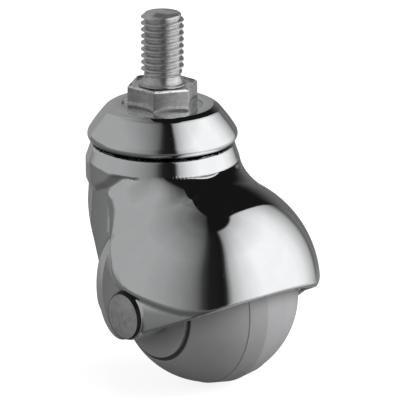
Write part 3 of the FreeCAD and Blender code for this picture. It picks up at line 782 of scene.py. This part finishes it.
nylon = moulded("grey_nylon", (0.30, 0.30, 0.30), (0.22, 0.22, 0.22), 0.38, 0.10)
for side, mirrored in (("left", True), ("right", False)):
    washer = turned([
        (3.05, 16.95), (5.6, 16.95), (5.6, 17.45), (3.05, 17.45), (3.05, 16.95),
    ], {1: 0.12, 2: 0.12})
    lay_along_axle(washer, mirrored)
    finished(washer, f"spacer_{side}", "hood", "grey_nylon", nylon, f"washer_{side}")
bush = turned([
    (3.05, -16.9), (4.55, -16.9), (4.55, 16.9), (3.05, 16.9), (3.05, -16.9),
], {1: 0.15, 2: 0.15})
lay_along_axle(bush)
finished(bush, "wheel_bush", "wheel", "grey_nylon", nylon, "axle_bush")


# Ball wheel. A moulded core carries a band of grey rubber as the tread. A dished shell closes each side,
# and a flat disc set in a groove closes each shell round the bush.


def ball_line(radius, low, high, steps=24):
    """Points on a ball's outside between two heights."""
    start, end = math.asin(low / radius), math.asin(high / radius)
    angles = [start + (end - start) * step / steps for step in range(steps + 1)]
    return [(radius * math.cos(angle), radius * math.sin(angle)) for angle in angles]


core_plastic = moulded("core_plastic", (0.19, 0.19, 0.20), (0.12, 0.12, 0.13), 0.5, 0.12)
core = turned([
    (4.55, -14.6), (7.5, -14.6), (7.5, -2.5), (12.6, -2.5), (12.6, -4.6), (15.8, -4.6), (15.8, 4.6),
    (12.6, 4.6), (12.6, 2.5), (7.5, 2.5), (7.5, 14.6), (4.55, 14.6), (4.55, -14.6),
], {2: 0.8, 3: 0.8, 8: 0.8, 9: 0.8})
lay_along_axle(core)
finished(core, "moulded_core", "wheel", "core_plastic", core_plastic, "wheel_core")

tread_rubber = moulded("tread_rubber", (0.47, 0.47, 0.48), (0.37, 0.37, 0.38), 0.34, 0.10)
tread = turned([
    (15.8, -4.6), (19.3, -4.6), (19.995, 0), (19.3, 4.6), (15.8, 4.6), (15.8, -4.6),
], {1: 0.12, 2: 0.5, 3: 0.12}, 192)
lay_along_axle(tread)
finished(tread, "rubber_tread", "wheel", "tread_rubber", tread_rubber, "tread_band")

shell_plastic = moulded(
    "shell_plastic", (0.45, 0.45, 0.46), (0.35, 0.35, 0.36), 0.30, 0.08, groove=(0.0110, 0.0118),
)
for side, mirrored in (("left", True), ("right", False)):
    outer = ball_line(19.7, 4.6, 15.70)
    inner = ball_line(17.3, 6.1, 12.56)
    shell = turned(
        [(13.5, 4.6), *outer, *reversed(inner), (13.5, 6.1), (13.5, 4.6)], {1: 0.14, len(outer): 0.3}, 192,
    )
    lay_along_axle(shell, mirrored)
    finished(shell, f"dished_shell_{side}", "wheel", "shell_plastic", shell_plastic, f"side_shell_{side}")
    disc = turned([
        (4.55, 14.6), (11.88, 14.6), (11.88, 15.6), (11.1, 15.6), (11.1, 16.4), (4.55, 16.4), (4.55, 14.6),
    ], {4: 0.3, 5: 0.2})
    lay_along_axle(disc, mirrored)
    finished(disc, f"side_disc_{side}", "wheel", "shell_plastic", shell_plastic, f"hub_disc_{side}")


# Studio. The castor stands on a plain pale floor that meets the eye as white. The room that the chrome
# mirrors has a large soft box ahead, grey walls behind and black flags between and above them.

floor_paint = Finish("floor_paint")
fibres = floor_paint.noise(floor_paint.place(), 300, 3.0, 0.6)
pale = floor_paint.tint(fibres, (0.31, 0.31, 0.31), (0.33, 0.33, 0.33))
paint = floor_paint.node("ShaderNodeBsdfDiffuse", {"Color": pale})
seen = floor_paint.node("ShaderNodeLightPath", out="Is Camera Ray")
glow = floor_paint.node("ShaderNodeEmission", {"Color": (1, 1, 1, 1), "Strength": seen * 0.86})
floor_paint.node_output("ShaderNodeOutputMaterial", floor_paint.node("ShaderNodeAddShader", [paint, glow]))

floor_shape = bmesh.new()
bmesh.ops.create_grid(floor_shape, x_segments=1, y_segments=1, size=2000)
bmesh.ops.translate(floor_shape, verts=floor_shape.verts, vec=(0, 0, -DROP - 20))
bmesh.ops.scale(floor_shape, verts=floor_shape.verts, vec=(MILLIMETRE,) * 3)
floor = plain_object(floor_shape, "studio_floor")
floor.data.materials.append(floor_paint.owner)
floor.visible_glossy = False

world = bpy.data.worlds.new("studio_room")
bpy.context.scene.world = world
room = Finish("studio_room", world)
way = room.node("ShaderNodeTexCoord", out="Generated")
split = room.node("ShaderNodeSeparateXYZ", [way])
ahead, across, up = (Value(room, split.socket.node.outputs[axis]) for axis in range(3))
turn = across.maths("ARCTAN2", ahead) * math.degrees(1)
rise = up.maths("ARCSINE") * math.degrees(1)
shifted = turn - rise.step(25, 75) * 7
# Walls, the soft box and the flags by their direction in degrees, and how they darken with height.
level = room.ramp(shifted, -190, 180, [
    (-190, 0.38), (-110, 0.39), (-85, 0.33), (-75, 0.29), (-65, 0.24), (-55, 0.175), (-50, 0.12),
    (-44, 0.035), (-38, 0.007), (-24, 0.001), (-20, 0.015), (-13, 0.47), (0, 0.76), (20, 1.0),
    (65, 1.0), (80, 0.86), (101, 0.41), (108, 0.03), (124, 0.015), (134, 0.20), (142, 0.30),
])
height = room.ramp(rise, 0, 90, [
    (0, 1.0), (40, 1.0), (60, 0.70), (68, 0.50), (72, 0.46), (80, 0.25), (90, 0.08),
])
# The ground round the castor, darker straight below it.
ground = room.ramp(turn, -180, 180, [
    (-180, 0.15), (-110, 0.20), (-60, 0.18), (-40, 0.09), (-20, 0.12), (0, 0.36), (25, 0.80),
    (75, 0.65), (92, 0.65), (108, 0.28), (160, 0.20),
])
ground = ground * room.ramp(rise, -90, 0, [(-90, 0.3), (-45, 0.55), (-20, 1.0)])
# The soft box's upper edge, with its far corner cut off, and a weak glow on the flag beside it.
past_corner = (turn - 60).maths("MAXIMUM", 0.0)
open_side = turn.step(126, 134)
top_edge = (71 - past_corner * past_corner * 0.022) * (1 - open_side) + (turn * 1.3 - 148) * open_side
cut_off = turn.step(-34, -28) * (rise - top_edge).step(-1.5, 1.5)
glow = turn.step(104, 112) * (1 - turn.step(126, 138)) * (1 - rise.step(2, 34)) * 0.14
upper_room = level * height * (1 - cut_off) + glow + 0.008
horizon = (1 - turn.step(-145, -125)) * 12
mirrored_room = upper_room + (ground - upper_room) * (1 - (rise - horizon).step(-19, -9))
seen = room.node("ShaderNodeLightPath", out="Is Camera Ray")
brightness = mirrored_room * (1 - seen) + seen
backdrop = room.node("ShaderNodeBackground", {"Color": (1, 1, 1, 1), "Strength": brightness})
room.node_output("ShaderNodeOutputWorld", backdrop)


def soft_lamp(name, turn, rise, distance, size, power):
    """A large soft lamp in a direction in degrees, facing the wheel. Polished metal doesn't mirror it."""
    light = bpy.data.lights.new(name, "AREA")
    light.shape = "RECTANGLE"
    light.size = size
    light.size_y = size * 0.8
    light.energy = power
    lamp = bpy.data.objects.new(name, light)
    bpy.context.scene.collection.objects.link(lamp)
    turn, rise = math.radians(turn), math.radians(rise)
    level = math.cos(rise)
    way = Vector((level * math.cos(turn), level * math.sin(turn), math.sin(rise)))
    lamp.location = Vector((0.016, 0, -0.03)) + way * distance
    lamp.rotation_euler = way.to_track_quat("Z", "Y").to_euler()
    lamp.visible_glossy = False


soft_lamp("soft_key", 48, 28, 1.6, 1.1, 21)
soft_lamp("soft_fill", -100, 30, 1.8, 1.2, 6)
soft_lamp("soft_top", 60, 85, 1.6, 1.4, 9)


# Camera. A long lens far away, which looks down on the castor from the side of the axle's head. The wheel's
# middle lies to the right of and below the middle of the picture.

DISTANCE = 1300
SENSOR = 36
HALF_VIEW = 44.45
right = Vector((0.643, 0.766, 0.0))
above = Vector((-0.2303, 0.1933, 0.9537))
back = Vector((0.7305, -0.6132, 0.3007))
aim = Vector((TRAIL, 0, -DROP)) - right * 2.133 + above * 20.78
lens = bpy.data.cameras.new("long_lens")
lens.lens = SENSOR / 2 * DISTANCE / HALF_VIEW
lens.sensor_width = SENSOR
lens.clip_start = 0.1
lens.clip_end = 20
camera = bpy.data.objects.new("camera", lens)
bpy.context.scene.collection.objects.link(camera)
turned_to = Matrix((right, above, back)).transposed().to_4x4()
camera.matrix_world = Matrix.Translation((aim + back * DISTANCE) * MILLIMETRE) @ turned_to
bpy.context.scene.camera = camera
bpy.context.scene.view_settings.view_transform = "Standard"
